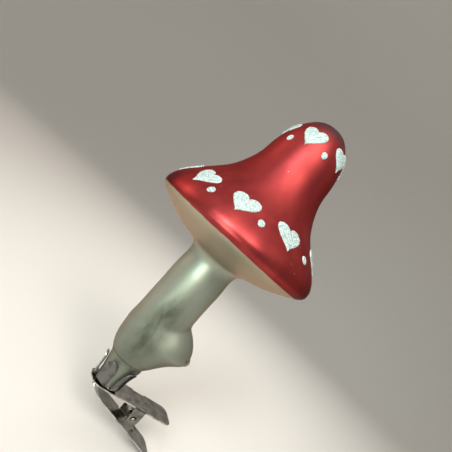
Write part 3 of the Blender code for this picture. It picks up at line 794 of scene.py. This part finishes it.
def crown():
    """Prongs and disc as one sheet: the disc is rings between the rivet's hole and the roots."""
    points, faces = [], []
    prongs = [prong(*values) for values in PRONGS]
    for grid in prongs:
        add_grid(points, faces, grid, quads_of(*grid.shape[:2]))
    edge = np.concatenate([grid[0] for grid in prongs])
    share = np.linspace(RIVET_HOLE_RADIUS, DISC_RADIUS, DISC_ROWS)[:, None, None] / DISC_RADIUS
    disc = np.concatenate([edge[None, :, :2] * share,
                           np.full((DISC_ROWS, len(edge), 1), CROWN_FLOOR)], -1)
    add_grid(points, faces, disc, faces_of(DISC_ROWS, len(edge), False, False))
    piece = sheet_metal("crown_star", points, faces, tinned, 1, CROWN_SHEET, CROWN_EDGE)
    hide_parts("crown")
    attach(piece, "ornament")


# Painted highlight: the cut edges get a lighter copy of the tinned metal, so they show as bright
# lines.
cut_edge_highlight = plated_material("cut_sheet_edge_highlight", "CFCBC4", "8D8A84", 0.22, (1.11, 1.11, 1.11))
tinned = plated_material("tinned_sheet", "757271", "454342", 0.15, (1.11, 1.11, 6.67))
crown()


# Crown rivet
# A solid rivet set cold through the crown and the arm: a low domed head above, the same below.
# It is of soft steel, tinned like the crown, so it has the same dull grey look.
RIVET_TOP = 1.5
RIVET_FOOT = -0.3
RIVET_SHANK_RADIUS = 0.9
RIVET_HEAD_RADIUS = 1.9
RIVET_HEAD_HEIGHT = 0.5


def turned_solid(name, outline, centre, axis, columns, material):
    """Round solid: an outline of (radius, height) turned about an axis through the centre."""
    outline = np.array(outline, float)
    turn = np.linspace(0, 2 * np.pi, columns, endpoint=False)[None, :, None]
    side = np.array(Vector(axis).orthogonal().normalized())
    other = np.cross(axis, side)
    grid = (np.array(centre) + outline[:, 1, None, None] * np.array(axis)
            + outline[:, 0, None, None] * (np.cos(turn) * side + np.sin(turn) * other))
    return new_piece(name, grid_points(grid, True, True),
                     faces_of(len(grid), columns, True, True), material, smooth_angle=50)


def crown_rivet():
    """A shank with heads that fall away as half an ellipse."""
    reach = np.array([0.0, 0.6, 1.1, 1.5, 1.75, 1.88, RIVET_HEAD_RADIUS])
    dome = RIVET_HEAD_HEIGHT * np.sqrt(np.clip(1 - (reach / RIVET_HEAD_RADIUS) ** 2, 0, 1))
    top = list(zip(reach, RIVET_TOP + dome)) + [(RIVET_SHANK_RADIUS, RIVET_TOP)]
    foot = [(RIVET_SHANK_RADIUS, RIVET_FOOT)] + list(zip(reach[::-1], RIVET_FOOT - dome[::-1]))
    piece = turned_solid("rivet_through_crown", top + foot, (0, 0, 0), (0, 0, 1), 40, tinned)
    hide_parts("crown_rivet")
    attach(piece, "ornament")


crown_rivet()


# Upper arm
# One strip of half-millimetre tinned steel, blanked with round ends and folded: two ears turn
# down from its edges, with small relief cuts beside them, and are pierced for the pin.
SHEET = 0.5
ARM_EDGE = 0.09
PIN_X = 18.0
PIN_Z = -4.7
PIN_HOLE_RADIUS = 0.87
FOLD_RADIUS = 0.75
EAR_COLUMNS = 15
EAR_RINGS = 6
EAR_DISC_POINTS = 25
FOLD_ROWS = 7
CUT_DEPTH = 0.3
CUT_FROM = 0.06
CUT_TO = 0.35
CUT_STEPS = (0.12, 0.3, 0.42)
STRIP_STEP = 0.6
STRIP_COLUMNS = 21
UPPER_EAR_REACH = 2.6
UPPER_EAR_Y = 5.9
UPPER_ENDS = (-7.0, 34.0)
UPPER_NOSE = [(-7.0, 0.2), (-6.85, 1.5), (-6.3, 3.7), (-4.6, 5.3), (-2.0, 6.0)]
BEFORE_NOSE = (-6.85, -1.2)
UPPER_TAIL = [(31.0, 6.0), (32.2, 5.75), (33.1, 5.1), (33.7, 4.2), (34.0, 3.0)]


def add_strip(points, faces, spine, widths, reach, ear_y, pierced):
    """Grid along the spine, as wide as the blank. Beside the ears' roots it is narrowed by relief
    cuts, and a pierced one has a round hole about Z for the rivet."""
    ear = PIN_X + np.linspace(-reach, reach, EAR_COLUMNS)
    cuts = PIN_X + np.outer([-1, 1], [reach + step for step in CUT_STEPS]).ravel()
    along = length_along(spine)
    even = np.interp(np.arange(0, along[-1], STRIP_STEP), along, spine[:, 0])
    even = even[np.abs(even - PIN_X) > reach + STRIP_STEP]
    x = np.unique(np.concatenate([even, ear, cuts, spine[[0, -1], 0]]).round(6))
    z = np.interp(x, spine[:, 0], spine[:, 1])
    half = np.interp(x, *np.array(widths, float).T)
    away = np.abs(x - PIN_X)
    half = np.where(away < reach + CUT_TO, ear_y - FOLD_RADIUS - CUT_DEPTH, half)
    half = np.where(away < reach + CUT_FROM, ear_y - FOLD_RADIUS, half)
    spread = np.linspace(-1, 1, STRIP_COLUMNS)
    strip = np.stack(np.broadcast_arrays(x[:, None], half[:, None] * spread, z[:, None]), -1)
    from_rivet = np.hypot(strip[..., 0], strip[..., 1])
    inside = (from_rivet < RIVET_HOLE_RADIUS) & pierced
    push = np.where(inside, RIVET_HOLE_RADIUS / np.maximum(from_rivet, 0.01), 1.0)
    strip[..., :2] *= push[..., None]
    kept = ~(inside[:-1, :-1] & inside[:-1, 1:] & inside[1:, 1:] & inside[1:, :-1])
    add_grid(points, faces, strip, quads_of(*strip.shape[:2])[kept])


def add_ears(points, faces, spine, facing, reach, ear_y):
    """For each ear a quarter circle turns its root by a right angle. The ear is rings between
    the pin's hole and an outline of root, straight side, half disc and straight side."""
    ear = PIN_X + np.linspace(-reach, reach, EAR_COLUMNS)
    root_z = np.interp(ear, spine[:, 0], spine[:, 1])
    slope = np.gradient(root_z, ear)
    inward = -facing * np.stack([-slope, np.ones(EAR_COLUMNS)], 1) / np.hypot(1, slope)[:, None]
    root = np.stack([ear, root_z], 1) + inward * FOLD_RADIUS
    turn = -facing * np.linspace(0, np.pi, EAR_DISC_POINTS)
    disc = np.stack([PIN_X + reach * np.cos(turn), PIN_Z + reach * np.sin(turn)], 1)
    side_share = np.linspace(0.2, 0.8, 4)[:, None]
    down = root[-1] + (disc[0] - root[-1]) * side_share
    back = disc[-1] + (root[0] - disc[-1]) * side_share
    outline = np.concatenate([root, down, disc, back]) - (PIN_X, PIN_Z)
    hole = outline / np.linalg.norm(outline, axis=1, keepdims=True) * PIN_HOLE_RADIUS
    ring_share = np.linspace(0, 1, EAR_RINGS)[:, None, None]
    rings = hole + (outline - hole) * ring_share + (PIN_X, PIN_Z)
    bend = np.linspace(0, np.pi / 2, FOLD_ROWS)[:, None]
    for side in (-1, 1):
        fold = np.stack([ear + inward[:, 0] * FOLD_RADIUS * (1 - np.cos(bend)),
                         side * (ear_y - FOLD_RADIUS * (1 - np.sin(bend))) + 0 * ear,
                         root_z + inward[:, 1] * FOLD_RADIUS * (1 - np.cos(bend))], -1)
        plate = np.insert(rings, 1, side * ear_y, axis=2)
        for grid, closed in ((fold, False), (plate, True)):
            add_grid(points, faces, grid, faces_of(*grid.shape[:2], False, False, closed))


def arm_sheet(name, spine, widths, facing, reach, ear_y):
    """A folded strip as one sheet seen from its outer face, which lies above (facing 1) or below
    (facing -1) and is pierced for the rivet when it lies above."""
    points, faces = [], []
    add_strip(points, faces, spine, widths, reach, ear_y, facing > 0)
    add_ears(points, faces, spine, facing, reach, ear_y)
    return sheet_metal(name, points, faces, arm_steel, facing, SHEET, ARM_EDGE)


def upper_arm():
    """Flat strip with a round nose and rounded corners at the handle's end."""
    spine = np.array([(x, SHEET) for x in UPPER_ENDS])
    widths = through(UPPER_NOSE, 8, BEFORE_NOSE).tolist() + UPPER_TAIL
    piece = arm_sheet("upper_clip_arm", spine, widths, 1, UPPER_EAR_REACH, UPPER_EAR_Y)
    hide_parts("upper_arm")
    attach(piece, "ornament")


arm_steel = plated_material("tinned_strip", "85827D", "54514E", 0.18, (16.7, 0.714, 0.714))
upper_arm()


# Lower arm
# The same strip, curved at the jaw so that only its tip meets the upper arm, then straight to
# the handle. Its ears stand up just inside the upper ones.
LOWER_PATH = [(-5.2, -0.5), (-4.0, -1.2), (-1.4, -2.9), (2.2, -4.4), (7.0, -6.0), (15.0, -8.753),
              (33.5, -15.12), (35.7, -15.88), (36.6, -16.19)]
BEFORE_JAW = (-6.0, -0.1)
LOWER_WIDTHS = [(-5.6, 3.2), (-5.0, 3.9), (-4.0, 4.6), (-1.4, 5.3), (2.2, 5.6), (7.0, 5.6),
                (33.5, 6.0), (34.9, 5.7), (35.8, 5.0), (36.4, 3.9), (36.6, 2.6)]
LOWER_EAR_REACH = 2.4
LOWER_EAR_Y = 5.1


def lower_arm():
    """The outer face is the path moved down by the sheet's thickness along its normal."""
    path = through(LOWER_PATH, 10, BEFORE_JAW)
    slope = np.gradient(path, axis=0)
    down = np.stack([slope[:, 1], -slope[:, 0]], 1) / np.linalg.norm(slope, axis=1)[:, None]
    piece = arm_sheet("lower_clip_arm", path + down * SHEET, LOWER_WIDTHS, -1, LOWER_EAR_REACH,
                      LOWER_EAR_Y)
    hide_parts("lower_arm")
    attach(piece, "lower_arm")


lower_arm()


# Hinge pin
# A steel wire pin, tinned like the arms, pushed through the four ears and peened over at both
# ends, with a shallow dimple in each head.
PIN_RADIUS = 0.75
PIN_HEAD_RADIUS = 1.3
PIN_SHOULDER = 6.2


def hinge_pin():
    """Shaft with a low dome at each end, as one turned outline along Y."""
    head = [(0.0, 0.44), (0.3, 0.49), (0.6, 0.55), (0.95, 0.48), (1.18, 0.32),
            (PIN_HEAD_RADIUS, 0.14), (PIN_HEAD_RADIUS, 0.0)]
    top = [(r, PIN_SHOULDER + rise) for r, rise in head] + [(PIN_RADIUS, PIN_SHOULDER)]
    outline = top + [(r, -y) for r, y in reversed(top)]
    piece = turned_solid("peened_pin", outline, (PIN_X, 0, PIN_Z), (0, 1, 0), 36, arm_steel)
    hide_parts("hinge_pin")
    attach(piece, "ornament")


hinge_pin()


# Spring
# Hard-drawn steel wire wound loosely about the pin, with a straight leg along the inside of each
# handle that pushes the handles apart and the jaws together.
WIRE_RADIUS = 0.35
WIRE_COLUMNS = 16
COIL_RADIUS = 2.15
COIL_PITCH = 0.85
COIL_TURNS = 5
COIL_POINTS = 230
LEG_POINTS = 23
UPPER_LEG_END = (27.0, -0.75)
LOWER_LEG_END = (27.0, -12.097)


def leg_angle(target, side):
    """Angle on the coil where a straight leg to the target is tangent to it."""
    across, up = target[0] - PIN_X, target[1] - PIN_Z
    return math.atan2(up, across) + side * math.acos(COIL_RADIUS / math.hypot(across, up))


def wire_material():
    """Drawn carbon-steel wire: a bare grey metal whose draw marks make it glint unevenly."""
    material, tree, shader = new_material("drawn_spring_wire", Metallic=1.0)
    place = node(tree, "ShaderNodeTexCoord").outputs["Object"]
    marks = node(tree, "ShaderNodeTexNoise", [(place, "Vector")], in_Scale=cells(0.385),
                 in_Detail=3.0)
    colour = node(tree, "ShaderNodeMix", [(marks.outputs["Fac"], "Factor")], data_type="RGBA",
                  in_6=linear("5E5C58"), in_7=linear("9B9890"))
    rough = node(tree, "ShaderNodeMapRange", [(marks.outputs["Fac"], "Value")], in_To_Min=0.2,
                 in_To_Max=0.42)
    bump = node(tree, "ShaderNodeBump", [(marks.outputs["Fac"], "Height")], in_Strength=0.3,
                in_Distance=0.02 * MM)
    tree.links.new(colour.outputs[2], shader.inputs["Base Color"])
    tree.links.new(rough.outputs[0], shader.inputs["Roughness"])
    tree.links.new(bump.outputs["Normal"], shader.inputs["Normal"])
    return material


def tube(name, path, radius, columns, material):
    """Round wire along a path; its section stays square to the path and its ends are low domes,
    half as high as they are wide."""
    along = np.gradient(path, axis=0)
    along /= np.linalg.norm(along, axis=1, keepdims=True)
    side = np.cross(along, (0, 1, 0))
    side /= np.linalg.norm(side, axis=1, keepdims=True)
    other = np.cross(side, along)
    turn = np.linspace(0, 2 * np.pi, columns, endpoint=False)[None, :, None]
    ring = np.cos(turn) * side[:, None] + np.sin(turn) * other[:, None]
    shell = path[:, None] + radius * ring
    dome = np.radians([90, 60, 30])
    caps = []
    for i, way in ((0, -1), (-1, 1)):
        caps.append([path[i] + radius * (np.cos(a) * ring[i] + way * 0.5 * np.sin(a) * along[i])
                     for a in dome])
    grid = np.concatenate([caps[0], shell, caps[1][::-1]])
    return new_piece(name, grid_points(grid, True, True),
                     faces_of(len(grid), columns, True, True), material)


def spring():
    """Leg, helix about the pin and leg: the helix steps evenly along Y as its angle grows."""
    start = leg_angle(UPPER_LEG_END, 1)
    end = leg_angle(LOWER_LEG_END, -1) + 2 * math.pi * COIL_TURNS
    half = (end - start) / (2 * math.pi) * COIL_PITCH / 2
    share = np.linspace(0, 1, COIL_POINTS)
    angle = start + (end - start) * share
    coil = np.stack([PIN_X + COIL_RADIUS * np.cos(angle), half * (2 * share - 1),
                     PIN_Z + COIL_RADIUS * np.sin(angle)], 1)
    run = np.linspace(0, 1, LEG_POINTS, endpoint=False)[:, None]
    upper_end = np.array([UPPER_LEG_END[0], -half, UPPER_LEG_END[1]])
    lower_end = np.array([LOWER_LEG_END[0], half, LOWER_LEG_END[1]])
    upper_leg = upper_end + (coil[0] - upper_end) * run
    lower_leg = lower_end + (coil[-1] - lower_end) * run
    path = np.concatenate([upper_leg, coil, lower_leg[::-1]])
    piece = tube("wound_spring", path, WIRE_RADIUS, WIRE_COLUMNS, wire_material())
    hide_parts("spring")
    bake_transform(piece)


spring()
